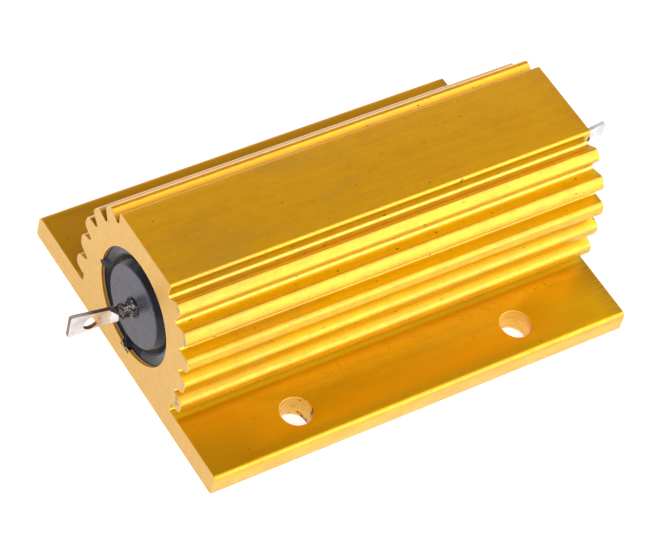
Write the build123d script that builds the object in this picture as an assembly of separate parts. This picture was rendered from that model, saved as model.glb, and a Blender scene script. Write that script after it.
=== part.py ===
from build123d import *
import os
from math import cos, radians, sin

# A wirewound power resistor moulded into a finned aluminium extrusion.
# Lengths are millimetres and angles degrees. X runs along the element, Y across the
# two mounting flanges and Z up. The origin is the centre of the heatsink face.

# Extruded housing
housing_length = 65.2
body_height = 23.35
plate_width = 46.6
plate_thickness = 3.65
plate_edge_radius = 0.65
axis_height = 11.55
flat_width = 12.8
flat_edge_radius = 0.35

# Fins along both flanks: four point away from the bore, the lowest stands level
fin_reach = 13.45
fin_depth = 2.0
fin_width = 1.95
top_fin_tip_radius = 0.6
low_fin_tip_radius = 0.9
radial_fin_count = 4
fin_pitch_angle = 18.0
lowest_radial_fin_angle = -5.3
level_fin_reach = 13.55
slot_root_height = 1.35
slot_mouth_height = 1.6
slot_corner_radius = 0.3
groove_floor_width = 0.56
groove_floor_radius = 0.2
top_groove_depth = 2.15

# Bore, with the keyways that lock the moulding: the corners of a square drawn with the
# extrusion, whose centre lies a little off the bore's
bore_radius = 8.2
key_count = 4
key_reach = 8.5
key_centre_across = 0.2
key_centre_drop = 0.2

# Mounting holes in the flanges
hole_spacing_along = 35.0
hole_spacing_across = 37.0
hole_radius = 2.2
hole_edge_chamfer = 0.15

# Moulded end: a raised boss level with the sawn end, in a sunken ring
boss_radius = 5.85
boss_foot_radius = 6.6
ring_foot_depth = 1.1
ring_wall_depth = 0.55
key_end_depth = 0.05
key_ramp_width = 0.5

# Ceramic core and its winding
core_radius = 4.75
core_setback = 6.6
core_edge_chamfer = 0.4
ribbon_width = 3.0
ribbon_thickness = 0.35
ribbon_turns = 6
ribbon_clearance = 0.03

# End caps pressed over the core
cap_wall = 0.6
cap_depth = 5.0
cap_edge_chamfer = 0.4

# Terminals: a round stem, a flared shoulder and a flat lug with an eye
head_radius = 1.9
head_thickness = 0.6
stem_radius = 1.05
stem_reach = 2.7
shoulder_length = 1.2
lug_length = 5.65
lug_root_width = 2.8
lug_tip_width = 3.95
lug_drop = 1.1
lug_thickness = 0.55
lug_corner_radius = 0.35
eye_radius = 1.2
eye_from_tip = 3.3
eye_rise = 0.35

overrun = 1.0

half_length = housing_length / 2
core_half = half_length - core_setback
cap_radius = core_radius + cap_wall
cap_face = core_half + cap_wall
rim_place = core_half - cap_depth


def at_angle(reach, angle):
    """A point of the end view, at a distance and an angle from the bore's axis."""
    turn = radians(angle)
    return reach * cos(turn), axis_height + reach * sin(turn)


def groove_floor(angle):
    """The two floor corners of the groove that lies at an angle, upper one first."""
    root_reach = fin_reach - fin_depth
    x, z = at_angle(root_reach, angle)
    across = (-sin(radians(angle)), cos(radians(angle)))
    half = groove_floor_width / 2
    return [(x + side * half * across[0], z + side * half * across[1]) for side in (1, -1)]


def fin_tip(angle):
    """The two tip corners of a radial fin, upper one first."""
    x, z = at_angle(fin_reach, angle)
    across = (-sin(radians(angle)), cos(radians(angle)))
    half = fin_width / 2
    return [(x + side * half * across[0], z + side * half * across[1]) for side in (1, -1)]


def top_groove_floor():
    """The floor corners of the groove beside the top flat."""
    inner = flat_width / 2
    floor = body_height - top_groove_depth
    return [(inner, floor), (inner + groove_floor_width, floor - groove_floor_radius)]


def level_fin():
    """The lowest fin, from the groove above it to the slot over the flange."""
    root = fin_reach - fin_depth
    last_fin_corner = fin_tip(lowest_radial_fin_angle)[1][1]
    under = plate_thickness + slot_mouth_height
    top = under + fin_width
    middle = (last_fin_corner + top) / 2
    floor = [(root, middle + groove_floor_width / 2), (root, middle - groove_floor_width / 2)]
    return floor, [(level_fin_reach, top), (level_fin_reach, under)], root


def flank_corners():
    """Corners of the right half of the section, from the top to the base, with their radii."""
    corners = [(0, body_height), (flat_width / 2, body_height)]
    sizes = [flat_edge_radius]
    corners += top_groove_floor()
    sizes += [groove_floor_radius] * 2
    for place in reversed(range(radial_fin_count)):
        angle = lowest_radial_fin_angle + place * fin_pitch_angle
        height_share = place / (radial_fin_count - 1)
        corners += fin_tip(angle)
        sizes += [low_fin_tip_radius + (top_fin_tip_radius - low_fin_tip_radius) * height_share] * 2
        if place:
            corners += groove_floor(angle - fin_pitch_angle / 2)
            sizes += [groove_floor_radius] * 2
    floor, tip, root = level_fin()
    corners += floor + tip
    sizes += [groove_floor_radius] * 2 + [low_fin_tip_radius] * 2
    corners += [(root, plate_thickness + slot_root_height), (root, plate_thickness)]
    sizes += [slot_corner_radius] * 2
    corners += [(plate_width / 2, plate_thickness), (plate_width / 2, 0), (0, 0)]
    sizes += [plate_edge_radius] * 2
    return corners, sizes


def housing_section():
    """The extrusion's outer outline, made from one flank and its mirror image."""
    corners, sizes = flank_corners()
    flank = FilletPolyline(*corners, radius=sizes)
    return make_face(flank + mirror(flank, about=Plane.YZ))


def bore_section():
    """The bore with its V keyways, centred on its own axis."""
    keys = Pos(key_centre_across, -key_centre_drop) * RegularPolygon(key_reach, key_count)
    return Circle(bore_radius) + keys


def along_housing(section, half):
    """A section drawn in the end view, run from one end of a length to the other."""
    return extrude(Plane.YZ.offset(-half) * section, amount=2 * half)


def turned(profile):
    """A solid turned about the element's axis from points of place along it and radius."""
    face = make_face(Polyline(*profile, close=True))
    return Pos(0, 0, axis_height) * revolve(Plane.XZ * face, axis=Axis.X)


def bar(start, end, radius):
    """A plain round length of the element."""
    return turned([(start, 0), (start, radius), (end, radius), (end, 0)])


def flange_holes():
    """Four clearance holes, each with its edge lightly broken where the drill went in."""
    hole = Pos(0, 0, plate_thickness / 2) * Cylinder(hole_radius, plate_thickness + overrun)
    edge = Cone(hole_radius, hole_radius + hole_edge_chamfer, hole_edge_chamfer)
    hole += Pos(0, 0, plate_thickness - hole_edge_chamfer / 2) * edge
    return [
        Pos(x * hole_spacing_along / 2, y * hole_spacing_across / 2, 0) * hole
        for x in (1, -1) for y in (1, -1)
    ]


def make_housing():
    bore = along_housing(Pos(0, axis_height) * bore_section(), half_length + overrun)
    return along_housing(housing_section(), half_length) - bore - flange_holes()


def make_core():
    rod = bar(-core_half, core_half, core_radius)
    ends = rod.edges().filter_by(GeomType.CIRCLE)
    return chamfer(ends, core_edge_chamfer)


def make_winding():
    """Flat resistance ribbon in even turns, from the rim of one cap to the other."""
    span = 2 * (rim_place - ribbon_width / 2 - ribbon_clearance)
    middle = core_radius + ribbon_clearance + ribbon_thickness / 2
    line = Helix(span / ribbon_turns, span, middle, center=(-span / 2, 0, 0), direction=(1, 0, 0))
    start = line @ 0
    outward = Vector(0, start.Y, start.Z)
    section = Plane(origin=start, x_dir=outward, z_dir=line % 0)
    ribbon = sweep(section * Rectangle(ribbon_thickness, ribbon_width), path=line, is_frenet=True)
    return Pos(0, 0, axis_height) * ribbon


def make_cap():
    """A drawn cup over the core's end, open towards the middle."""
    return turned([
        (rim_place, cap_radius), (cap_face - cap_edge_chamfer, cap_radius),
        (cap_face, cap_radius - cap_edge_chamfer), (cap_face, 0), (core_half, 0),
        (core_half, core_radius), (rim_place, core_radius),
    ])


def lug_plate():
    """The flat of the terminal: its lower edge is level, its upper edge rises to the tip."""
    root, tip = lug_root_width - lug_drop, lug_tip_width - lug_drop
    outline = FilletPolyline(
        (0, root), (lug_length, tip), (lug_length, -lug_drop), (0, -lug_drop),
        radius=lug_corner_radius,
    )
    face = make_face(outline + Line((0, -lug_drop), (0, root)))
    face -= Pos(lug_length - eye_from_tip, eye_rise) * Circle(eye_radius)
    return extrude(Plane.XZ * face, amount=lug_thickness / 2, both=True)


def make_terminal():
    """Weld head, stem, shoulder and lug, forged from one length of round wire."""
    stem_end = half_length + stem_reach
    lug_start = stem_end + shoulder_length
    stem = bar(cap_face, cap_face + head_thickness, head_radius)
    stem += bar(cap_face + head_thickness, stem_end, stem_radius)
    round_end = Plane.YZ.offset(stem_end) * Pos(0, axis_height)
    flat_end = Plane.YZ.offset(lug_start) * Pos(0, axis_height + lug_root_width / 2 - lug_drop)
    shoulder = loft(
        [round_end * Circle(stem_radius), flat_end * Rectangle(lug_thickness, lug_root_width)]
    )
    return stem + shoulder + Pos(lug_start, 0, axis_height) * lug_plate()


def make_moulding(end_pieces):
    """Compound that fills the bore and its keyways, shaped at both ends."""
    fill = along_housing(Pos(0, axis_height) * bore_section(), half_length)
    outer = bore_radius + key_ramp_width
    end = [
        (half_length, 0), (half_length, boss_radius),
        (half_length - ring_foot_depth, boss_foot_radius),
        (half_length - ring_wall_depth, bore_radius),
        (half_length - key_end_depth, outer), (half_length - key_end_depth, outer + overrun),
    ]
    ends = turned(end + [(-x, reach) for x, reach in reversed(end)])
    sleeve = core_radius + ribbon_thickness + 2 * ribbon_clearance
    moulding = (fill & ends) - bar(-core_half, core_half, core_radius)
    moulding -= bar(-rim_place, rim_place, sleeve)
    for piece in end_pieces:
        moulding -= piece
    return moulding


def make_parts():
    core = make_core()
    cap = make_cap()
    terminal = make_terminal()
    caps = {"end_cap_right": cap, "end_cap_left": mirror(cap, about=Plane.YZ)}
    terminals = {"terminal_right": terminal, "terminal_left": mirror(terminal, about=Plane.YZ)}
    moulding = make_moulding([*caps.values(), *terminals.values()])
    return {
        "housing": make_housing(),
        "moulding": moulding,
        "ceramic_core": core,
        "winding": make_winding(),
        **caps,
        **terminals,
    }


os.makedirs("parts", exist_ok=True)
for name, part in make_parts().items():
    export_step(part, f"parts/{name}.step")
    print(name, round(part.volume, 2))
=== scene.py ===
# An aluminium housed power resistor, dressed for its photograph. Everything is in metres, in
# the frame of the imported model: X runs along the resistor, Y across its two flanges, Z up.
# The end that is near in the photograph lies at -X, and the front flange at -Y.
from math import atan2, cos, hypot, pi, radians, remainder, sin, tan

import bmesh
import bpy
from mathutils import Matrix, Quaternion, Vector, noise


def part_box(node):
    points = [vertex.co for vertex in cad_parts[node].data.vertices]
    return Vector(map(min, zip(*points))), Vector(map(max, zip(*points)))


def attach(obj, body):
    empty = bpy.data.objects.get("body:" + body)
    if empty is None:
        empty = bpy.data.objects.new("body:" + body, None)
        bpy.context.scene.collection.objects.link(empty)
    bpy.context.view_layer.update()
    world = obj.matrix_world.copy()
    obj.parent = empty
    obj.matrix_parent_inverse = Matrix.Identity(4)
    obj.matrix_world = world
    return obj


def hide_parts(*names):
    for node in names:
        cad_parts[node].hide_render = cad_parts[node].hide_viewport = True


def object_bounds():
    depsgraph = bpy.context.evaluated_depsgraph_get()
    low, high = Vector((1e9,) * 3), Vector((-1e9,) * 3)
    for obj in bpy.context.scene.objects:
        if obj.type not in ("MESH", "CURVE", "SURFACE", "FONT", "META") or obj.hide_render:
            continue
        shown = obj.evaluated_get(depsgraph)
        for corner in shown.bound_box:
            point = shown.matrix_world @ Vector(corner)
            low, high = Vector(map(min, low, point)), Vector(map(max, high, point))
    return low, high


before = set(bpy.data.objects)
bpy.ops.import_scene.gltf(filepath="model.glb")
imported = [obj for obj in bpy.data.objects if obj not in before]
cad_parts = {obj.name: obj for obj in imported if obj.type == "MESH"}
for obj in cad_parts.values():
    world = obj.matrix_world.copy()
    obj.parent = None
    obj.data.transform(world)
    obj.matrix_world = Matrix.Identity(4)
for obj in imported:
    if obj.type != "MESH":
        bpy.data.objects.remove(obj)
cad_low, cad_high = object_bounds()
stage_view = bpy.context.scene.view_settings
stage_view.view_transform = "Standard"


# Housing: one length of aluminium extrusion with a base plate, five fins on each flank and a
# keyed bore. It is sawn to length, drilled through the flanges and then anodised gold.
mm = 0.001
tolerance = 0.01 * mm
merge_distance = 0.001 * mm
housing_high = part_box("housing")[1]
half_length = housing_high.x
plate_half_width = housing_high.y
body_top = housing_high.z
plate_top = 3.65 * mm
plate_rounding = 0.65 * mm
axis_height = 11.55 * mm
flat_half_width = 6.5 * mm
flat_rounding = 0.45 * mm

fin_reach = 13.45 * mm
fin_root = 11.45 * mm
fin_half_width = 0.975 * mm
fin_pitch = 18.0
fin_count = 4
fin_angles = [-5.3 + place * fin_pitch for place in range(fin_count)]
low_rounding, high_rounding = 0.9 * mm, 0.6 * mm
upper_rounding = 0.75 * mm
top_shoulder = 0.76 * mm
top_shoulder_rounding = 0.55 * mm
floor_half_width = 0.28 * mm
floor_rounding = 0.36 * mm
top_groove_wall = 6.22 * mm
top_groove_floor = 21.22 * mm
top_floor_width = 0.5 * mm
top_floor_drop = 0.12 * mm
top_floor_rounding = 0.5 * mm
top_floor_corner = 0.12 * mm
rear_lean = 0.2 * mm
rear_lean_height = 0.5 * mm
slot_rounding = 0.3 * mm
slot_height = 5.25 * mm
slot_root_height = 5.0 * mm
level_fin_top = 7.2 * mm
level_fin_reach = 13.55 * mm
corner_segments = 6
saw_edge = 0.06 * mm

bore_radius = 8.2 * mm
bore_steps = 360
key_count = 4
key_reach = 8.5 * mm
key_half_angle = pi / 4
key_centre = Vector((0, 0.2 * mm, -0.2 * mm))

hole_places = [(x * mm, y * mm) for x in (-17.5, 17.5) for y in (-18.5, 18.5)]
hole_radius = 2.2 * mm
hole_rim = 0.13 * mm
hole_steps = 72


def between(start, end, share):
    """A value a share of the way from one to another."""
    return start + (end - start) * share


def from_axis(reach, across, angle):
    """A point of the near end: so far out from the bore's axis, and so far across that line."""
    turn = radians(angle)
    y = reach * cos(turn) - across * sin(turn)
    z = axis_height + reach * sin(turn) + across * cos(turn)
    return Vector((-half_length, y, z))


def near_end(y, z):
    """A point of the near end by its place across and its height."""
    return Vector((-half_length, y, z))


def flank_corners():
    """Corners of one flank of the extrusion and their rounding, from the top to the base."""
    yield from_axis(body_top - axis_height, 0, 90), 0
    yield near_end(flat_half_width, body_top), flat_rounding
    yield near_end(top_groove_wall, top_groove_floor), top_floor_rounding
    beside = top_groove_wall + top_floor_width
    yield near_end(beside, top_groove_floor - top_floor_drop), top_floor_corner
    for place, angle in reversed(list(enumerate(fin_angles))):
        tip_rounding = between(low_rounding, high_rounding, place / (fin_count - 1))
        if angle == fin_angles[-1]:
            yield from_axis(fin_reach, top_shoulder, angle), top_shoulder_rounding
        else:
            yield from_axis(fin_reach, fin_half_width, angle), upper_rounding
        yield from_axis(fin_reach, -fin_half_width, angle), tip_rounding
        if angle > fin_angles[0]:
            yield from_axis(fin_root, floor_half_width, angle - fin_pitch / 2), floor_rounding
            yield from_axis(fin_root, -floor_half_width, angle - fin_pitch / 2), floor_rounding
    lowest = from_axis(fin_reach, -fin_half_width, fin_angles[0]).z
    middle = (lowest + level_fin_top) / 2
    yield near_end(fin_root, middle + floor_half_width), floor_rounding
    yield near_end(fin_root, middle - floor_half_width), floor_rounding
    yield near_end(level_fin_reach, level_fin_top), low_rounding
    yield near_end(level_fin_reach, slot_height), low_rounding
    yield near_end(fin_root, slot_root_height), slot_rounding
    yield near_end(fin_root, plate_top), slot_rounding
    yield near_end(plate_half_width, plate_top), plate_rounding
    yield near_end(plate_half_width, 0), plate_rounding
    yield near_end(0, 0), 0


extrusion = bmesh.new()
flank = [(extrusion.verts.new(place), rounding) for place, rounding in flank_corners()]
for (upper, _), (lower, _) in zip(flank, flank[1:]):
    extrusion.edges.new((upper, lower))
for corner, rounding in flank:
    if rounding:
        bmesh.ops.bevel(
            extrusion, geom=[corner], offset=rounding * tan(corner.calc_edge_angle() / 2),
            offset_type="OFFSET", segments=corner_segments, profile=0.5, affect="VERTICES",
            material=-1,
        )
bmesh.ops.mirror(extrusion, geom=extrusion.verts[:] + extrusion.edges[:], axis="Y", merge_dist=0)
bmesh.ops.remove_doubles(extrusion, verts=extrusion.verts, dist=merge_distance)

# The rear top fin leans a little further out than the front one.
for vert in extrusion.verts:
    climb = (vert.co.z - top_groove_floor) / rear_lean_height
    if vert.co.y > top_groove_wall + top_floor_width + 5 * tolerance and climb > 0:
        vert.co.y += rear_lean * min(1.0, climb)

key_tips = [
    key_centre + Matrix.Rotation(2 * pi * place / key_count, 3, "X") @ Vector((0, key_reach, 0))
    for place in range(key_count)
]


def from_tip(tip, turn):
    """How far an angle round the bore is from a keyway's tip."""
    return abs(remainder(turn - atan2(tip.z, tip.y), 2 * pi))


def keyed_reach(turn):
    """How far the bore's wall is from its axis at an angle, out into the four V keyways."""
    reach = bore_radius
    for tip in key_tips:
        away = from_tip(tip, turn)
        if away < key_half_angle:
            reach = max(reach, tip.length * sin(key_half_angle) / sin(key_half_angle + away))
    return reach


bore = bmesh.ops.create_circle(
    extrusion, segments=bore_steps, radius=bore_radius, matrix=Matrix.Rotation(pi / 2, 4, "Y")
)
for vert in bore["verts"]:
    reach = keyed_reach(atan2(vert.co.z, vert.co.y))
    vert.co = Vector((-half_length, 0, axis_height)) + vert.co * reach / bore_radius

section = bmesh.ops.triangle_fill(
    extrusion, edges=extrusion.edges[:], use_beauty=True, use_dissolve=False, normal=(-1, 0, 0)
)
section_faces = [g for g in section["geom"] if isinstance(g, bmesh.types.BMFace)]
drawn = bmesh.ops.extrude_face_region(extrusion, geom=section_faces)
far_verts = [g for g in drawn["geom"] if isinstance(g, bmesh.types.BMVert)]
bmesh.ops.translate(extrusion, verts=extrusion.verts, vec=(saw_edge, 0, 0))
bmesh.ops.translate(extrusion, verts=far_verts, vec=(2 * (half_length - saw_edge), 0, 0))
bmesh.ops.recalc_face_normals(extrusion, faces=extrusion.faces)

# The housing's finishes and the lit and shaded copies of its gold skin, in the order in which
# they are put on it further down.
(
    skin_slot, sawn_slot, edge_slot, drilled_slot, reamed_slot, groove_painted_light_slot, flange_slot,
    under_painted_light_slot, shaded_slot, floor_painted_highlight_slot, ledge_painted_light_slot,
) = range(11)


def facing(mesh, direction, least=0.999):
    """The faces of a mesh that look one way."""
    return [f for f in mesh.faces if f.normal.dot(Vector(direction)) > least]


# The saw leaves a narrow broken edge all round both ends.
for direction in ((-1, 0, 0), (1, 0, 0)):
    broken = bmesh.ops.inset_region(
        extrusion, faces=facing(extrusion, direction), thickness=saw_edge, depth=saw_edge,
        use_even_offset=True, use_boundary=True,
    )
    for face in broken["faces"]:
        face.material_index = edge_slot
    for face in facing(extrusion, direction):
        face.material_index = sawn_slot

# Each flange is opened for its two drilled holes, above and below, and the holes get walls.
rims = {}
for direction, height in (((0, 0, 1), plate_top), ((0, 0, -1), 0)):
    for face in facing(extrusion, direction):
        if abs(face.calc_center_median().z - height) > tolerance:
            continue
        side = face.calc_center_median().y
        if abs(side) < fin_root / 2:
            continue
        border = face.edges[:]
        for x, y in hole_places:
            if y * side > 0:
                rim = bmesh.ops.create_circle(
                    extrusion, segments=hole_steps, radius=hole_radius,
                    matrix=Matrix.Translation((x, y, height)),
                )
                edges = list({e for v in rim["verts"] for e in v.link_edges})
                rims.setdefault((x, y), []).append(edges)
                border += edges
        bmesh.ops.delete(extrusion, geom=[face], context="FACES_ONLY")
        bmesh.ops.triangle_fill(
            extrusion, edges=border, use_beauty=True, use_dissolve=False, normal=direction
        )
for upper, lower in rims.values():
    wall = bmesh.ops.bridge_loops(extrusion, edges=upper + lower)
    for face in wall["faces"]:
        face.material_index = drilled_slot
    bmesh.ops.bevel(
        extrusion, geom=upper, offset=hole_rim, offset_type="OFFSET", segments=3, profile=0.5,
        affect="EDGES", material=-1,
    )
bmesh.ops.recalc_face_normals(extrusion, faces=extrusion.faces)

# How far from the axis a groove's floor and the groove end, how much a face looks up to be a
# lit floor, a tip or a ledge, and how much it looks back at the body to lie shaded or under.
groove_floor_reach, fin_tip_reach = 11.75 * mm, 13.0 * mm
floor_rise, tip_rise, ledge_rise = 0.25, 0.12, 0.5
shaded_turn, under_turn = 0.5, 0.15


def fin_tone(normal, reach, in_rear):
    """The slot of a flank face by its reach and the way it looks; the copies carry painted light
    and shade.
    """
    looks_back = -normal.y if in_rear else normal.y
    in_groove = reach < fin_tip_reach
    if reach < groove_floor_reach and not in_rear:
        return floor_painted_highlight_slot if normal.z > floor_rise else groove_painted_light_slot
    if not in_groove and normal.z >= tip_rise:
        return skin_slot
    if looks_back > shaded_turn or (in_rear and (looks_back > 0 or in_groove)):
        return shaded_slot
    if looks_back > under_turn:
        return under_painted_light_slot
    return ledge_painted_light_slot if normal.z > ledge_rise else groove_painted_light_slot


# Grooves, ledges and undersides get copies of the gold with painted light, highlight and shade.
for face in extrusion.faces:
    face.smooth = True
    middle = face.calc_center_median()
    if face.material_index or abs(face.normal.x) > 0.1:
        continue
    from_middle = hypot(middle.y, middle.z - axis_height)
    reach = from_middle if middle.z > level_fin_top + mm else abs(middle.y)
    if from_middle < (bore_radius + fin_root) / 2:
        face.material_index = reamed_slot
    elif abs(middle.z - plate_top) < 10 * tolerance:
        face.material_index = flange_slot
    elif middle.z > plate_top and abs(middle.y) > top_groove_wall - 10 * tolerance:
        face.material_index = fin_tone(face.normal, reach, middle.y > 0)


def finished(mesh, name, sharp=32.0):
    """Turns a bmesh into an object at the origin, with edges sharper than an angle kept crisp."""
    data = bpy.data.meshes.new(name)
    mesh.to_mesh(data)
    mesh.free()
    data.set_sharp_from_angle(angle=radians(sharp))
    piece = bpy.data.objects.new(name, data)
    bpy.context.scene.collection.objects.link(piece)
    return piece


housing = finished(extrusion, "gold_housing")


def start_material(name, **sockets):
    """A material with its shader's fixed values set, its tree, and the object's coordinates."""
    material = bpy.data.materials.new(name)
    material.use_nodes = True
    tree = material.node_tree
    shader = tree.nodes["Principled BSDF"]
    for socket, value in sockets.items():
        shader.inputs[socket.replace("_", " ")].default_value = value
    where = tree.nodes.new("ShaderNodeTexCoord").outputs["Object"]
    return material, tree, shader, where


def split(tree, where):
    """The three parts of a place, each as a factor."""
    axes = tree.nodes.new("ShaderNodeSeparateXYZ")
    tree.links.new(where, axes.inputs["Vector"])
    return axes.outputs["X"], axes.outputs["Y"], axes.outputs["Z"]


def noise_at(tree, where, scale, detail=3.0, roughness=0.6):
    """A noise pattern's factor. A scale for each axis draws the pattern out into lines."""
    if isinstance(scale, tuple):
        mapping = tree.nodes.new("ShaderNodeMapping")
        mapping.inputs["Scale"].default_value = scale
        tree.links.new(where, mapping.inputs["Vector"])
        where, scale = mapping.outputs["Vector"], 1.0
    pattern = tree.nodes.new("ShaderNodeTexNoise")
    pattern.inputs["Scale"].default_value = scale
    pattern.inputs["Detail"].default_value = detail
    pattern.inputs["Roughness"].default_value = roughness
    tree.links.new(where, pattern.inputs["Vector"])
    return pattern.outputs["Fac"]


def spread(tree, factor, low, high, to_low=0.0, to_high=1.0):
    """A factor taken from one range to another, and held inside it."""
    ranged = tree.nodes.new("ShaderNodeMapRange")
    ends = {"From Min": low, "From Max": high, "To Min": to_low, "To Max": to_high}
    for socket, value in ends.items():
        ranged.inputs[socket].default_value = value
    tree.links.new(factor, ranged.inputs["Value"])
    return ranged.outputs["Result"]


def mixed(tree, factor, first, second):
    """Two colours mixed by a factor. Each is a colour or a socket."""
    mix = tree.nodes.new("ShaderNodeMix")
    mix.data_type = "RGBA"
    tree.links.new(factor, mix.inputs["Factor"])
    for socket, colour in ((mix.inputs[6], first), (mix.inputs[7], second)):
        if isinstance(colour, bpy.types.NodeSocket):
            tree.links.new(colour, socket)
        else:
            socket.default_value = (*colour, 1.0)
    return mix.outputs[2]


def combined(tree, operation, first, second):
    """Two factors put together, each a number or a socket."""
    maths = tree.nodes.new("ShaderNodeMath")
    maths.operation = operation
    for socket, value in zip(maths.inputs, (first, second)):
        if isinstance(value, bpy.types.NodeSocket):
            tree.links.new(value, socket)
        else:
            socket.default_value = value
    return maths.outputs["Value"]


def product(tree, factor, *others):
    """Several factors multiplied, so that a mask holds only where they all do."""
    for other in others:
        factor = combined(tree, "MULTIPLY", factor, other)
    return factor


def size_of(tree, factor):
    """A factor without its sign."""
    return combined(tree, "ABSOLUTE", factor, 0.0)


def shared(tree, first, share, second):
    """One factor by a share of it, and a second by the rest."""
    return combined(tree, "ADD", product(tree, first, share), product(tree, second, 1 - share))


def raised(tree, shader, height, strength, distance=0.03 * mm):
    """Lets a pattern stand up from the surface."""
    bump = tree.nodes.new("ShaderNodeBump")
    bump.inputs["Strength"].default_value = strength
    bump.inputs["Distance"].default_value = distance
    tree.links.new(height, bump.inputs["Height"])
    tree.links.new(bump.outputs["Normal"], shader.inputs["Normal"])


gold_grey = (0.50, 0.28, 0.05)
pit_brown = (0.10, 0.04, 0.004)
pit_step = 0.035
far_end_brown = (0.26, 0.15, 0.04)
far_streaks_from = half_length - 3.2 * mm


def anodised(name, tones, coat, dirt=0.71, shade=None, smudge=0.4, far_streaks=0.22):
    """Gold anodised skin in two tones, with die lines, an etched grain, smudges and pits."""
    light, deep = tones
    material, tree, shader, where = start_material(
        name, Metallic=0.65, Specular_IOR_Level=0.0, Coat_Weight=coat, Coat_IOR=1.7,
        Coat_Roughness=0.22,
    )
    die_lines = noise_at(tree, where, (25, 1600, 1600), 4.0)
    grain = noise_at(tree, where, (2600, 3600, 3600), 3.0, 0.65)
    mottle = noise_at(tree, where, (420, 620, 620), 4.0)
    tone = combined(tree, "ADD", die_lines, combined(tree, "ADD", mottle, grain))
    gold = mixed(tree, spread(tree, tone, 1.2, 1.8), deep, light)
    if shade:
        gold = shade(tree, where, gold)
    cloud = noise_at(tree, where, (60, 170, 170), 4.0)
    gold = mixed(tree, spread(tree, cloud, 0.50, 0.74, 0.0, smudge), gold, gold_grey)

    # The far end is darkened towards brown in fine lengthwise streaks.
    x, _, _ = split(tree, where)
    streaks = noise_at(tree, where, (160, 3600, 3600))
    at_far_end = spread(tree, x, far_streaks_from, half_length, 0.0, far_streaks)
    streaked = product(tree, at_far_end, spread(tree, streaks, 0.30, 0.65))
    gold = mixed(tree, streaked, gold, far_end_brown)

    specks = noise_at(tree, where, (900, 1500, 1500), 2.0, 0.45)
    pits = spread(tree, specks, dirt, dirt + pit_step)
    tree.links.new(mixed(tree, pits, gold, pit_brown), shader.inputs["Base Color"])
    tree.links.new(spread(tree, tone, 1.05, 1.95, 0.40, 0.32), shader.inputs["Roughness"])
    relief = combined(tree, "ADD", die_lines, product(tree, grain, 1.5))
    relief = combined(tree, "SUBTRACT", product(tree, relief, 0.5), pits)
    raised(tree, shader, relief, 0.4)
    return material


flange_tones = (0.78, 0.365, 0.0005), (0.68, 0.31, 0.0004)
flange_outside_painted_light = (0.80, 0.385, 0.001)
flange_near_painted_reflection = (0.64, 0.29, 0.0005)
flange_far_painted_reflection = (1.0, 0.50, 0.002)
flange_under_fins_painted_light = (1.0, 0.74, 0.02)
flange_rear_painted_shade = (0.70, 0.31, 0.008)
flange_speck = (0.34, 0.16, 0.01)
outer_side = (17.0 * mm, 20.0 * mm)
near_stretch = (-27.0 * mm, -14.0 * mm)
far_stretch = (16.0 * mm, 26.0 * mm)
far_corner = (15.5 * mm, 19.0 * mm)
fin_shelter = (12.9 * mm, 13.4 * mm)
speck_line_inside = (13.9 * mm, 14.4 * mm)
speck_line_outside = (14.7 * mm, 15.4 * mm)


def flange_shade(tree, where, gold):
    """The flange with painted light, painted reflection and painted shade, and lightly speckled.
    """
    x, y, _ = split(tree, where)
    out = size_of(tree, y)
    # Painted light: paler towards the outer edge.
    gold = mixed(tree, spread(tree, out, *outer_side, 0.0, 0.75), gold, flange_outside_painted_light)
    # Painted reflection: deeper along the near stretch and paler at the far corner.
    gold = mixed(tree, spread(tree, x, *near_stretch, 0.9, 0.0), gold, flange_near_painted_reflection)
    corner = spread(tree, out, *far_corner, 0.15, 1.0)
    corner = product(tree, spread(tree, x, *far_stretch, 0.0, 0.8), corner)
    gold = mixed(tree, corner, gold, flange_far_painted_reflection)
    # Painted light under the lowest fin, where the fin shades the flange.
    gold = mixed(tree, spread(tree, out, *fin_shelter, 0.9, 0.0), gold, flange_under_fins_painted_light)
    # Painted shade: the rear flange is deeper.
    gold = mixed(tree, spread(tree, y, 0.0, mm, 0.0, 0.7), gold, flange_rear_painted_shade)
    grit = noise_at(tree, where, (1900, 2600, 2600))
    patches = noise_at(tree, where, 110)
    speck_line = product(
        tree, spread(tree, out, *speck_line_inside),
        spread(tree, out, *speck_line_outside, 1.0, 0.0),
        spread(tree, patches, 0.44, 0.56), spread(tree, grit, 0.58, 0.70),
    )
    return mixed(tree, speck_line, gold, flange_speck)


gold_light, gold_deep = (0.98, 0.485, 0.007), (0.82, 0.335, 0.0008)
flat_painted_light = (1.0, 0.50, 0.0005)
rear_tips_painted_reflection = (0.74, 0.50, 0.30)
rear_edge_painted_shade = (0.50, 0.24, 0.004)
flat_skin = (body_top - 0.2 * mm, body_top - 0.1 * mm)
flat_edge_inside, flat_edge_outside = (6.0 * mm, 6.25 * mm), (6.6 * mm, 6.8 * mm)
flat_edge_height = (22.8 * mm, 22.9 * mm)
rim_outside, rim_height = (22.4 * mm, 22.6 * mm), (3.0 * mm, 3.3 * mm)
tips_inside, tips_outside = (8.7 * mm, 9.3 * mm), (15.0 * mm, 16.0 * mm)
above_flange = (plate_top + 0.5 * mm, plate_top + mm)


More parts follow.
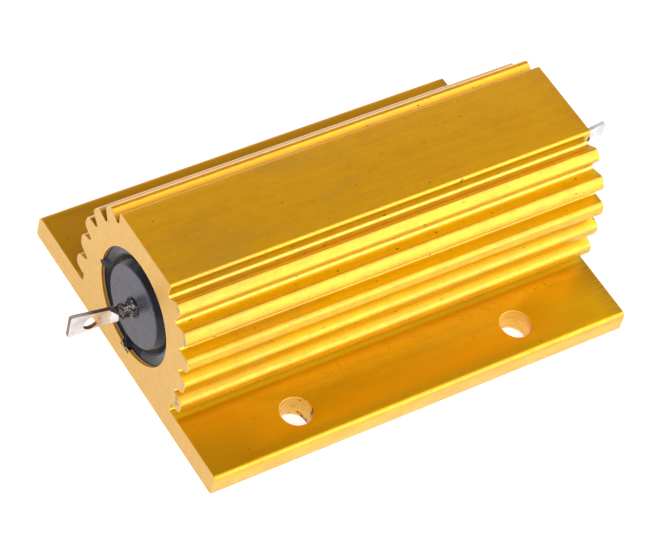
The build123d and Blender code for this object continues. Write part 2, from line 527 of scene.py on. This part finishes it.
def tip_shade(tree, where, gold):
    """A painted reflection pales the rear fins' tips, painted light lightens the flat, painted
    shade deepens the rear edges.
    """
    _, y, z = split(tree, where)
    gold = mixed(tree, spread(tree, z, *flat_skin, 0.0, 0.3), gold, flat_painted_light)
    on_flat_edge = product(
        tree, spread(tree, y, *flat_edge_inside), spread(tree, y, *flat_edge_outside, 0.6, 0.0),
        spread(tree, z, *flat_edge_height),
    )
    gold = mixed(tree, on_flat_edge, gold, rear_edge_painted_shade)
    on_rim = product(tree, spread(tree, y, *rim_outside, 0.0, 0.95), spread(tree, z, *rim_height))
    gold = mixed(tree, on_rim, gold, rear_edge_painted_shade)
    on_tips = product(
        tree, spread(tree, y, *tips_outside, 0.6, 0.0), spread(tree, z, *above_flange),
        spread(tree, y, *tips_inside),
    )
    return mixed(tree, on_tips, gold, rear_tips_painted_reflection)


# Gold copy with painted shade, for faces that look back at the body.
shaded_tones = (0.67, 0.355, 0.0003), (0.57, 0.295, 0.0002)
rear_grooves_painted_shade = (0.40, 0.17, 0.002)
rear_flank_painted_light = (0.95, 0.47, 0.03)
groove_ends = (-half_length + 4 * mm, -half_length + 9 * mm)
top_groove_height = (20.8 * mm, 21.1 * mm)
top_flank_height = (21.52 * mm, 21.86 * mm)


def groove_shade(tree, where, gold):
    """Painted shade darkens the rear grooves at the near end and beside the flat; painted light
    lightens the flank above.
    """
    x, y, z = split(tree, where)
    rear = spread(tree, y, 0.0, mm)
    at_end = spread(tree, x, *groove_ends, 0.85, 0.2)
    beside_flat = spread(tree, z, *top_groove_height, 0.0, 0.85)
    dark = product(tree, rear, combined(tree, "MAXIMUM", at_end, beside_flat))
    gold = mixed(tree, dark, gold, rear_grooves_painted_shade)
    return mixed(tree, product(tree, rear, spread(tree, z, *top_flank_height)), gold, rear_flank_painted_light)


# Gold copies with painted light for grooves, undersides and ledges, and a painted highlight for
# floors.
groove_painted_light_tones = (0.69, 0.435, 0.0015), (0.58, 0.36, 0.001)
under_painted_light_tones = (0.90, 0.55, 0.0008), (0.77, 0.46, 0.0008)
ledge_painted_light_tones = (0.86, 0.475, 0.001), (0.76, 0.405, 0.0008)
floor_painted_highlight_tones = (0.94, 0.66, 0.05), (0.84, 0.54, 0.03)
skin = anodised("anodised_skin", (gold_light, gold_deep), 0.5, dirt=0.75, shade=tip_shade)
groove_painted_light_skin = anodised("anodised_grooves_painted_light", groove_painted_light_tones, 0.35)
under_painted_light_skin = anodised("anodised_undersides_painted_light", under_painted_light_tones, 0.3)
ledge_painted_light_skin = anodised("anodised_ledges_painted_light", ledge_painted_light_tones, 0.3)
shaded_skin = anodised("anodised_shaded", shaded_tones, 0.1, shade=groove_shade)
floor_painted_highlight_skin = anodised("anodised_floors_painted_highlight", floor_painted_highlight_tones, 0.9)
flange_skin = anodised(
    "anodised_flange", flange_tones, 0.2, dirt=0.77, shade=flange_shade, smudge=0.1, far_streaks=0.6
)


def at_near_end(tree, x):
    """1 over the first millimetre of the near end, and 0 past the second."""
    return spread(tree, x, -half_length + mm, -half_length + 2 * mm, 1.0, 0.0)


cut_light = (0.89, 0.51, 0.08)
cut_deep = (0.67, 0.36, 0.025)
flash_black = (0.004, 0.003, 0.004)
flash_low = 2.8 * mm
flash_high = 3.72 * mm
flash_half_width = 1.05 * mm
flash_waver = 0.16 * mm
burr_grey = (0.42, 0.34, 0.31)
burr_brown = (0.22, 0.12, 0.045)
burr_reach = (12.75 * mm, 12.95 * mm)
burr_height = (plate_top + mm, plate_top + 1.5 * mm)
front_fins = (-7 * mm, -6 * mm)
sawn, tree, shader, where = start_material(
    "anodised_saw_cut", Metallic=0.6, Specular_IOR_Level=0.0, Coat_Weight=0.8, Coat_IOR=1.6,
    Coat_Roughness=0.4,
)
end_grain = noise_at(tree, where, 4200, 3.0, 0.65)
tone = shared(tree, noise_at(tree, where, 800, 4.0, 0.65), 0.3, end_grain)
sawn_gold = mixed(tree, spread(tree, tone, 0.32, 0.68), cut_deep, cut_light)
x, y, z = split(tree, where)
near = at_near_end(tree, x)

# The saw has left grey burrs on the tips of the front fins at the near end.
level = tree.nodes.new("ShaderNodeCombineXYZ")
tree.links.new(y, level.inputs["Y"])
tree.links.new(z, level.inputs["Z"])
from_bore = tree.nodes.new("ShaderNodeVectorMath")
from_bore.operation = "DISTANCE"
tree.links.new(level.outputs["Vector"], from_bore.inputs[0])
from_bore.inputs[1].default_value = (0, 0, axis_height)
burr = product(
    tree, spread(tree, from_bore.outputs["Value"], *burr_reach),
    spread(tree, noise_at(tree, where, 750, 4.0, 0.7), 0.48, 0.56),
    spread(tree, y, *front_fins, 1.0, 0.0), spread(tree, z, *burr_height), near,
)
crumbs = spread(tree, noise_at(tree, where, 3200, 3.0, 0.65), 0.42, 0.60)
sawn_gold = mixed(tree, burr, sawn_gold, mixed(tree, crumbs, burr_grey, burr_brown))

# There the compound has also flashed out below the lowest keyway.
ragged = product(tree, noise_at(tree, where, 1500, 2.0, 0.5), flash_waver)
beside = combined(tree, "ADD", size_of(tree, y), ragged)
lower_edge = combined(tree, "ADD", z, ragged)
flash = product(
    tree, near, spread(tree, beside, flash_half_width, flash_half_width + 0.08 * mm, 1.0, 0.0),
    spread(tree, lower_edge, flash_low, flash_low + 0.05 * mm),
    spread(tree, z, flash_high, flash_high + 0.1 * mm, 1.0, 0.0),
)
tree.links.new(mixed(tree, flash, sawn_gold, flash_black), shader.inputs["Base Color"])
tree.links.new(spread(tree, tone, 0.35, 0.65, 0.58, 0.48), shader.inputs["Roughness"])
raised(tree, shader, end_grain, 0.35, 0.02 * mm)

bare_grey = (0.46, 0.44, 0.42)
edge, tree, shader, where = start_material(
    "bared_saw_edge", Metallic=1.0, Coat_Weight=0.4, Coat_IOR=1.7
)
bare = spread(tree, noise_at(tree, where, 420), 0.58, 0.64)
tree.links.new(mixed(tree, bare, cut_light, bare_grey), shader.inputs["Base Color"])
tree.links.new(spread(tree, bare, 0.0, 1.0, 0.45, 0.38), shader.inputs["Roughness"])
raised(tree, shader, noise_at(tree, where, 2500), 0.4)

# The drill left fine rings in the holes, and swarf clings mostly to those at the near end.
drilled_tan = (0.96, 0.58, 0.07)
drilled_brown = (0.80, 0.46, 0.05)
swarf_brown = (0.20, 0.07, 0.01)
drilled, tree, shader, where = start_material(
    "drilled_wall", Metallic=0.6, Specular_IOR_Level=0.0, Coat_Weight=0.6, Coat_IOR=1.6,
    Coat_Roughness=0.35, Roughness=0.45,
)
turned_lines = noise_at(tree, where, (160, 160, 3600))
tan_wall = mixed(tree, spread(tree, turned_lines, 0.40, 0.62), drilled_tan, drilled_brown)
x, _, _ = split(tree, where)
clinging = spread(tree, noise_at(tree, where, (700, 700, 900), 4.0), 0.56, 0.62)
swarf = product(tree, clinging, spread(tree, x, -mm, mm, 1.0, 0.15))
tree.links.new(mixed(tree, swarf, tan_wall, swarf_brown), shader.inputs["Base Color"])
raised(tree, shader, turned_lines, 0.15)

# Behind a narrow gold edge the bore's wall is scraped bare. It is black under the flash.
scraped_cream = (0.92, 0.66, 0.36)
scraped_from = half_length - 0.22 * mm
scrape_waver = 0.3 * mm
scrape_blur = 0.06 * mm
reamed, tree, shader, where = start_material(
    "reamed_bore", Metallic=0.4, Specular_IOR_Level=0.0, Coat_Weight=0.6, Coat_IOR=1.6,
    Coat_Roughness=0.35, Roughness=0.5,
)
x, y, z = split(tree, where)
waver = product(tree, noise_at(tree, where, 500), scrape_waver)
inward = combined(tree, "ADD", size_of(tree, x), waver)
scraped = spread(tree, inward, scraped_from - scrape_blur, scraped_from + scrape_blur, 1.0, 0.0)
wall = mixed(tree, scraped, gold_deep, scraped_cream)
flash_side = (flash_half_width - 0.15 * mm, flash_half_width - 0.05 * mm)
flash = product(
    tree, at_near_end(tree, x), spread(tree, size_of(tree, y), *flash_side, 1.0, 0.0),
    spread(tree, z, axis_height - mm, axis_height, 1.0, 0.0),
)
tree.links.new(mixed(tree, flash, wall, flash_black), shader.inputs["Base Color"])
raised(tree, shader, noise_at(tree, where, (2400, 300, 300), 2.0, 0.5), 0.3, 0.02 * mm)

housing_finishes = (
    skin, sawn, edge, drilled, reamed, groove_painted_light_skin, flange_skin, under_painted_light_skin, shaded_skin,
    floor_painted_highlight_skin, ledge_painted_light_skin,
)
for material in housing_finishes:
    housing.data.materials.append(material)
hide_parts("housing")
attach(housing, "root")


# Moulding: black compound, pressed into the bore round the wound core. At each end a flat
# boss stands in a sunken ring, and the compound runs up to the sawn face in the keyways.
boss_radius = 5.85 * mm
boss_rounding = 0.12 * mm
boss_foot_radius = 6.6 * mm
ring_foot_depth = 1.1 * mm
ring_wall_depth = 0.55 * mm
ring_floor_rows = 5
ring_steps = 360
standing_key_reach = 8.45 * mm
key_end_depth = 0.05 * mm
key_ramp_start = 7.0 * mm
key_ramp_angle = radians(5.0)
key_ramp_end = radians(7.5)
stem_radius = 1.05 * mm
cap_rim, cap_face, head_face = 21.0 * mm, 26.6 * mm, 27.2 * mm
sleeve_radius, cap_radius, head_radius = 5.16 * mm, 5.35 * mm, 1.9 * mm
pit_depth = 0.45 * mm
pit_radius = 1.55 * mm

compound = bmesh.new()
ring_foot = half_length - ring_foot_depth
end_profile = [
    (cap_rim, sleeve_radius), (cap_rim, cap_radius), (cap_face, cap_radius),
    (cap_face, head_radius), (head_face, head_radius), (head_face, stem_radius),
    (half_length - pit_depth, stem_radius),
    (half_length - pit_depth / 2, (stem_radius + pit_radius) / 2),
    (half_length, pit_radius), (half_length, boss_radius / 2),
    (half_length, boss_radius - boss_rounding), (half_length - boss_rounding, boss_radius),
    (ring_foot + boss_rounding, boss_foot_radius - boss_rounding), (ring_foot, boss_foot_radius),
]
for row in range(1, ring_floor_rows + 1):
    share = row / ring_floor_rows
    depth = between(ring_wall_depth, ring_foot_depth, (1 - share) ** 2)
    end_profile.append((half_length - depth, between(boss_foot_radius, bore_radius, share)))
chain = [compound.verts.new((x, 0, axis_height + r)) for x, r in end_profile]
chain += [compound.verts.new((-x, 0, axis_height + r)) for x, r in reversed(end_profile)]
for here, there in zip(chain, chain[1:] + chain[:1]):
    compound.edges.new((here, there))
bmesh.ops.spin(
    compound, geom=compound.verts[:] + compound.edges[:], cent=(0, 0, axis_height),
    axis=(1, 0, 0), angle=2 * pi, steps=ring_steps, use_merge=True,
)
bmesh.ops.remove_doubles(compound, verts=compound.verts, dist=merge_distance)


def key_nearness(turn):
    """1 over a keyway that stands out from the bore, falling to 0 a little way to each side."""
    nearest = 0.0
    for tip in key_tips:
        if tip.length > standing_key_reach:
            ramp = (key_ramp_end - from_tip(tip, turn)) / key_ramp_angle
            nearest = max(nearest, min(1.0, ramp))
    return nearest


# The outer wall is pushed out into the keyways, and the compound rises there towards the
# sawn face.
key_rise = ring_wall_depth - key_end_depth
for vert in compound.verts:
    y, z = vert.co.y, vert.co.z - axis_height
    from_middle = hypot(y, z)
    climb = (from_middle - key_ramp_start) / (bore_radius - key_ramp_start)
    if climb > 0:
        rise = climb * key_rise * key_nearness(atan2(z, y))
        vert.co.x += rise if vert.co.x > 0 else -rise
    if from_middle > bore_radius - tolerance:
        scale = keyed_reach(atan2(z, y)) / bore_radius
        vert.co.y, vert.co.z = y * scale, axis_height + z * scale
bmesh.ops.recalc_face_normals(compound, faces=compound.faces)
for face in compound.faces:
    face.smooth = True
moulding = finished(compound, "black_moulding", 28.0)

ring_tones = (0.003, 0.003, 0.006), (0.010, 0.010, 0.018)
boss_tones = (0.018, 0.018, 0.034), (0.070, 0.066, 0.100)
compound_sheen = (0.93, 0.87, 1.0, 1.0)


def compound_finish(name, tones, roughness, refraction, relief_strength, marks_depth=0.0):
    """Black compound in two tones that blush and wave together, with shallow marks pressed in."""
    material, tree, shader, where = start_material(
        name, IOR=refraction, Specular_Tint=compound_sheen
    )
    tone = shared(tree, noise_at(tree, where, 420, 5.0), 0.7, noise_at(tree, where, 3000))
    blush = mixed(tree, spread(tree, tone, 0.38, 0.66), *tones)
    tree.links.new(blush, shader.inputs["Base Color"])
    gloss = spread(tree, tone, 0.3, 0.7, roughness - 0.05, roughness + 0.05)
    tree.links.new(gloss, shader.inputs["Roughness"])
    marks = spread(tree, noise_at(tree, where, 620), 0.56, 0.62)
    relief = combined(tree, "SUBTRACT", tone, product(tree, marks, marks_depth))
    raised(tree, shader, relief, relief_strength, 0.05 * mm)
    return material


pressed = compound_finish("pressed_compound", boss_tones, 0.36, 1.58, 1.0, marks_depth=0.9)
ringed = compound_finish("glossy_compound", ring_tones, 0.2, 1.38, 0.5)
shaded_compound = compound_finish("painted_shade_compound", ring_tones, 0.3, 1.22, 0.5)
for material in (ringed, pressed, shaded_compound):
    moulding.data.materials.append(material)

# The boss was pressed flat. The ring's foot and its lower rear side get a less reflective copy of
# the glossy compound: painted shade.
ringed_slot, pressed_slot, shaded_compound_slot = range(3)
end_level = half_length - boss_rounding / 2
foot_level = half_length - 0.7 * ring_foot_depth
ring_level = half_length - 2 * ring_foot_depth
foot_half_width = 0.25 * mm
shaded_from, shaded_to = radians(-112.0), radians(-4.0)
for face in moulding.data.polygons:
    middle = face.center
    out = abs(middle.x)
    reach = hypot(middle.y, middle.z - axis_height)
    around = atan2(middle.z - axis_height, middle.y)
    in_foot = abs(reach - boss_foot_radius) < foot_half_width and out < foot_level
    in_shade = shaded_from < around < shaded_to and out > ring_level
    if out > end_level and reach < boss_radius:
        face.material_index = pressed_slot
    elif in_foot or in_shade:
        face.material_index = shaded_compound_slot
    else:
        face.material_index = ringed_slot
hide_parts("moulding")
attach(moulding, "root")


# Terminals: round copper wire with a weld head, pressed flat outside the compound to a lug
# with a punched eye, then tinned. The cut edges and the eye's wall show the copper.
stem_end = 35.3 * mm
lug_start = 36.5 * mm
lug_end = cad_high.x
lug_half_thickness = 0.275 * mm
lug_low = axis_height - 1.1 * mm
lug_root_height = 2.8 * mm
lug_tip_height = 3.95 * mm
lug_rounding = 0.3 * mm
cut_edge = 0.05 * mm
cut_edge_angle = radians(50)
eye_x, eye_z = 38.85 * mm, 11.9 * mm
eye_radius = 1.2 * mm
eye_steps = 48
stem_sides = 32
stem_rows = 14
shoulder_shares = (0.35, 0.7, 1.0)
dented_from, dented_to = head_face + mm, stem_end + 0.3 * mm
dent_depth = 0.09 * mm
wide_dent, small_dent = 0.9 * mm, 0.45 * mm
tinned_slot, sheared_slot, punched_slot, stem_slot = range(4)


def make_terminal(name, side):
    """The right terminal, or its mirror image where side is -1, each with dents of its own."""
    metal = bmesh.new()

    def ring(x, half_thickness, low, high, squareness=0.0):
        """A loop round the terminal that goes from round to square."""
        loop = bmesh.ops.create_circle(metal, segments=stem_sides, radius=1.0)["verts"]
        for v in loop:
            flat = 1 + squareness * (1 / max(abs(v.co.x), abs(v.co.y)) - 1)
            y = v.co.x * flat * half_thickness
            z = (low + high) / 2 + v.co.y * flat * (high - low) / 2
            v.co = (x, y, z)
        return list({e for v in loop for e in v.link_edges})

    def round_ring(x, radius):
        """A round loop about the bore's axis."""
        return ring(x, radius, axis_height - radius, axis_height + radius)

    loops = [round_ring(cap_face, head_radius), round_ring(head_face, head_radius)]
    for row in range(stem_rows + 1):
        x = between(head_face, stem_end, (row / stem_rows) ** 0.5)
        loops.append(round_ring(x, stem_radius))
    for share in shoulder_shares:
        x = between(stem_end, lug_start, share)
        half_thickness = between(stem_radius, lug_half_thickness, share)
        low = between(axis_height - stem_radius, lug_low, share)
        high = between(axis_height + stem_radius, lug_low + lug_root_height, share)
        loops.append(ring(x, half_thickness, low, high, share))
    loops.append(ring(lug_end, lug_half_thickness, lug_low, lug_low + lug_tip_height, 1.0))
    for here, there in zip(loops, loops[1:]):
        bmesh.ops.bridge_loops(metal, edges=here + there)
    for loop in (loops[0], loops[-1]):
        bmesh.ops.edgeloop_fill(metal, edges=loop)

    corners = [e for e in loops[-1] if abs(e.verts[0].co.z - e.verts[1].co.z) < tolerance]
    bmesh.ops.bevel(
        metal, geom=corners, offset=lug_rounding, offset_type="OFFSET", segments=5, profile=0.5,
        affect="EDGES", material=-1,
    )
    bmesh.ops.recalc_face_normals(metal, faces=metal.faces)

    # The eye is punched through both flats of the lug.
    eyes = []
    for direction in (-1, 1):
        sides = facing(metal, (0, direction, 0))
        flats = [f for f in sides if f.calc_center_median().x > lug_start]
        inside = {e for f in flats for e in f.edges}
        border = [e for e in inside if sum(f in flats for f in e.link_faces) == 1]
        bmesh.ops.delete(metal, geom=flats, context="FACES")
        eye = bmesh.ops.create_circle(
            metal, segments=eye_steps, radius=eye_radius,
            matrix=Matrix.Translation((eye_x, direction * lug_half_thickness, eye_z))
            @ Matrix.Rotation(pi / 2, 4, "X"),
        )
        edges = list({e for v in eye["verts"] for e in v.link_edges})
        eyes.append(edges)
        bmesh.ops.triangle_fill(
            metal, edges=border + edges, use_beauty=True, use_dissolve=False,
            normal=(0, direction, 0),
        )
    wall = bmesh.ops.bridge_loops(metal, edges=eyes[0] + eyes[1])
    bmesh.ops.recalc_face_normals(metal, faces=metal.faces)
    for face in metal.faces:
        face.smooth = True
        out = face.calc_center_median().x
        if out > lug_start and abs(face.normal.y) < 0.5:
            face.material_index = sheared_slot
        elif out < stem_end:
            face.material_index = stem_slot
        else:
            face.material_index = tinned_slot
    for face in wall["faces"]:
        face.material_index = punched_slot
    if side < 0:
        bmesh.ops.scale(metal, verts=metal.verts, vec=(-1, 1, 1))
        bmesh.ops.reverse_faces(metal, faces=metal.faces)

    # Handling has dented the soft stem where it leaves the compound.
    for v in metal.verts:
        if dented_from < abs(v.co.x) < dented_to:
            away = Vector((0, v.co.y, v.co.z - axis_height))
            dent = noise.noise(v.co / wide_dent) + 0.5 * noise.noise(v.co / small_dent)
            v.co += away.normalized() * dent * dent_depth
    piece = finished(metal, name, 36.0)
    soften = piece.modifiers.new("rolled_edges", "BEVEL")
    soften.width, soften.segments = cut_edge, 2
    soften.limit_method, soften.angle_limit = "ANGLE", cut_edge_angle
    return piece


tin_bright = (0.66, 0.64, 0.65)
tin_dull = (0.50, 0.46, 0.44)
tin_edge = (0.70, 0.68, 0.70)
copper = (0.72, 0.30, 0.16)
copper_dark = (0.20, 0.075, 0.04)
tarnish = (0.10, 0.09, 0.07)
edge_brown = (0.13, 0.075, 0.06)
edge_grey = (0.42, 0.42, 0.40)
edge_copper = (0.30, 0.13, 0.10)
beige_painted_reflection = (0.52, 0.38, 0.24)

# The flats are worn dull in patches, and a beige painted reflection of the housing's sawn end
# lies on them towards the stem.
reflection_start = (lug_start - 0.35 * mm, lug_start - 0.25 * mm)
reflection_end = (lug_start + 1.6 * mm, lug_start + 2.6 * mm)
tinned, tree, shader, where = start_material("tinned_flat", Metallic=1.0)
worn = spread(tree, noise_at(tree, where, 420, 4.0), 0.45, 0.72)
x, _, _ = split(tree, where)
out = size_of(tree, x)
waver = product(tree, noise_at(tree, where, 900, 4.0, 0.65), 1.2 * mm)
end_face_reflection = product(
    tree, spread(tree, out, *reflection_start),
    spread(tree, combined(tree, "ADD", out, waver), *reflection_end, 0.9, 0.0),
    spread(tree, noise_at(tree, where, 1500, 4.0, 0.65), 0.38, 0.60, 0.45, 1.0),
)
tin = mixed(tree, worn, tin_bright, tin_dull)
tree.links.new(mixed(tree, end_face_reflection, tin, beige_painted_reflection), shader.inputs["Base Color"])
tree.links.new(spread(tree, worn, 0.0, 1.0, 0.3, 0.42), shader.inputs["Roughness"])
raised(tree, shader, noise_at(tree, where, 900, 4.0), 0.25)

# The left lug's cut edges are brown, greyer towards the tip, with bare copper at the very end.
grey_from = (-lug_start - 3.2 * mm, -lug_start - 2.2 * mm)
copper_from = (-lug_end + 0.03 * mm, -lug_end + 0.08 * mm)
cut, tree, shader, where = start_material("cut_edge", Metallic=0.2, Roughness=0.42)
smear = spread(tree, noise_at(tree, where, (300, 900, 500)), 0.46, 0.66)
x, _, _ = split(tree, where)
worn_edge = mixed(tree, spread(tree, x, *grey_from, 1.0, 0.0), edge_brown, edge_grey)
worn_edge = mixed(tree, spread(tree, x, *copper_from, 1.0, 0.0), worn_edge, edge_copper)
tree.links.new(mixed(tree, smear, worn_edge, copper_dark), shader.inputs["Base Color"])
raised(tree, shader, noise_at(tree, where, (2500, 300, 2500), 2.0, 0.5), 0.3)

punched, tree, shader, where = start_material("punched_eye", Metallic=1.0, Roughness=0.38)
burnt = spread(tree, noise_at(tree, where, 900), 0.42, 0.60)
tree.links.new(mixed(tree, burnt, copper, copper_dark), shader.inputs["Base Color"])

stem, tree, shader, where = start_material("dented_stem", Metallic=1.0)
soot = spread(tree, noise_at(tree, where, 1900, 4.0, 0.65), 0.45, 0.53)
tree.links.new(mixed(tree, soot, tin_edge, tarnish), shader.inputs["Base Color"])
tree.links.new(spread(tree, soot, 0.0, 1.0, 0.22, 0.42), shader.inputs["Roughness"])
raised(tree, shader, noise_at(tree, where, 2300, 4.0, 0.65), 1.0, 0.12 * mm)

tinned_edge, tree, shader, where = start_material("tinned_edge", Metallic=0.2, Roughness=0.35)
smear = spread(tree, noise_at(tree, where, (300, 900, 500)), 0.40, 0.60)
tree.links.new(mixed(tree, smear, tin_edge, tin_dull), shader.inputs["Base Color"])

for node, side, sheared in (("terminal_right", 1, tinned_edge), ("terminal_left", -1, cut)):
    terminal = make_terminal("tinned_" + node, side)
    for material in (tinned, sheared, punched, stem):
        terminal.data.materials.append(material)
    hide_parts(node)
    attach(terminal, "root")


# Inside, sealed in the compound: a steatite rod, the resistance ribbon wound on it, and the
# two drawn steel caps that join the ribbon to the terminals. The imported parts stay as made.
def refinish(node, material):
    """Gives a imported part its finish."""
    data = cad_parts[node].data
    data.materials.clear()
    data.materials.append(material)


steatite_cream = (0.80, 0.77, 0.68)
steatite_warm = (0.70, 0.65, 0.54)
steatite, tree, shader, where = start_material("steatite", Roughness=0.6)
fired = noise_at(tree, where, 500, 5.0)
fired_tone = mixed(tree, spread(tree, fired, 0.4, 0.65), steatite_cream, steatite_warm)
tree.links.new(fired_tone, shader.inputs["Base Color"])
raised(tree, shader, fired, 0.3)
refinish("ceramic_core", steatite)

ribbon_bright = (0.56, 0.53, 0.49)
ribbon_blued = (0.30, 0.27, 0.25)
ribbon, tree, shader, where = start_material("rolled_ribbon", Metallic=1.0)
rolled = noise_at(tree, where, (2200, 200, 200), 3.0, 0.5)
rolled_tone = mixed(tree, spread(tree, rolled, 0.4, 0.6), ribbon_bright, ribbon_blued)
tree.links.new(rolled_tone, shader.inputs["Base Color"])
tree.links.new(spread(tree, rolled, 0.3, 0.7, 0.25, 0.4), shader.inputs["Roughness"])
refinish("winding", ribbon)

cap_bright = (0.63, 0.62, 0.60)
cap_dull = (0.48, 0.46, 0.44)
drawn_steel, tree, shader, where = start_material("drawn_steel", Metallic=1.0)
draw_lines = noise_at(tree, where, (60, 1600, 1600), 3.0, 0.5)
cap_tone = mixed(tree, spread(tree, draw_lines, 0.4, 0.6), cap_bright, cap_dull)
tree.links.new(cap_tone, shader.inputs["Base Color"])
tree.links.new(spread(tree, draw_lines, 0.3, 0.7, 0.28, 0.4), shader.inputs["Roughness"])
refinish("end_cap_right", drawn_steel)
refinish("end_cap_left", drawn_steel)


# Studio: a white table that runs out of sight, in a room that is bright low down and dim
# overhead. A tall soft panel stands front right, with three smaller ones to the right, high
# left and high right, and a weaker one behind.
table_half = 1.5
table_drop = 0.05 * mm
table_grey = (0.50, 0.50, 0.50)
seen_glow = 0.75
reflected_glow = 1.0
table_mesh = bmesh.new()
bmesh.ops.create_grid(table_mesh, x_segments=1, y_segments=1, size=table_half)
bmesh.ops.translate(table_mesh, verts=table_mesh.verts, vec=(0, 0, -table_drop))
table = finished(table_mesh, "white_table")
paper = bpy.data.materials.new("white_paper")
paper.use_nodes = True
tree = paper.node_tree
shader = tree.nodes["Principled BSDF"]
shader.inputs["Base Color"].default_value = (*table_grey, 1.0)
shader.inputs["Roughness"].default_value = 0.9
shader.inputs["Emission Color"].default_value = (1.0, 1.0, 1.0, 1.0)
rays = tree.nodes.new("ShaderNodeLightPath").outputs
mirrored = combined(tree, "MAXIMUM", rays["Is Glossy Ray"], rays["Is Transmission Ray"])
seen = product(tree, rays["Is Camera Ray"], seen_glow)
glow = combined(tree, "MAXIMUM", seen, product(tree, mirrored, reflected_glow))
tree.links.new(glow, shader.inputs["Emission Strength"])
table.data.materials.append(paper)

wall_level = 0.79
ceiling_level = 0.15
world = bpy.data.worlds.new("studio_room")
bpy.context.scene.world = world
world.use_nodes = True
tree = world.node_tree
room = tree.nodes["Background"]
_, _, upward = split(tree, tree.nodes.new("ShaderNodeTexCoord").outputs["Generated"])
level = spread(tree, upward, 0.5, 0.7, wall_level, ceiling_level)
camera_ray = tree.nodes.new("ShaderNodeLightPath").outputs["Is Camera Ray"]
tree.links.new(combined(tree, "MAXIMUM", camera_ray, level), room.inputs["Strength"])
room.inputs["Color"].default_value = (1.0, 1.0, 1.0, 1.0)


def outward(azimuth, elevation):
    """The direction of a place in the studio, seen from the table. Azimuth 0 is the front."""
    across, up = radians(azimuth), radians(elevation)
    return Vector((sin(across) * cos(up), -cos(across) * cos(up), sin(up)))


# Each panel is given by its azimuth and elevation, its width and height, and its radiance.
panel_distance = 0.9
panels = {
    "front_right_panel": (33.0, 22.0, 0.5, 0.9, 2.8),
    "right_panel": (80.0, 35.0, 0.5, 0.5, 3.0),
    "high_left_panel": (-30.0, 60.0, 0.5, 0.5, 3.2),
    "rear_panel": (200.0, 30.0, 0.5, 0.5, 1.2),
    "high_right_panel": (58.0, 57.0, 0.4, 0.4, 2.2),
}
for name, (azimuth, elevation, width, height, radiance) in panels.items():
    lamp = bpy.data.lights.new(name, "AREA")
    lamp.shape, lamp.size, lamp.size_y = "RECTANGLE", width, height
    lamp.energy = radiance * pi * width * height
    holder = bpy.data.objects.new(name, lamp)
    bpy.context.scene.collection.objects.link(holder)
    back = outward(azimuth, elevation)
    holder.location = back * panel_distance
    holder.rotation_mode = "QUATERNION"
    holder.rotation_quaternion = back.to_track_quat("Z", "Y")

# The camera stands where the photograph was taken from.
camera_azimuth = -44.36
camera_elevation = 49.94
camera_distance = 0.40548
camera_lean = radians(16.18)
camera_aim = Vector((-0.00628, -0.00663, 0.012))
lens = bpy.data.cameras.new("camera")
lens.lens, lens.sensor_width = 168.2, 36.0
lens.clip_start = 0.01
camera = bpy.data.objects.new("camera", lens)
bpy.context.scene.collection.objects.link(camera)
back = outward(camera_azimuth, camera_elevation)
camera.location = camera_aim + back * camera_distance
camera.rotation_mode = "QUATERNION"
upright = (-back).to_track_quat("-Z", "Y")
camera.rotation_quaternion = upright @ Quaternion((0, 0, 1), camera_lean)
bpy.context.scene.camera = camera
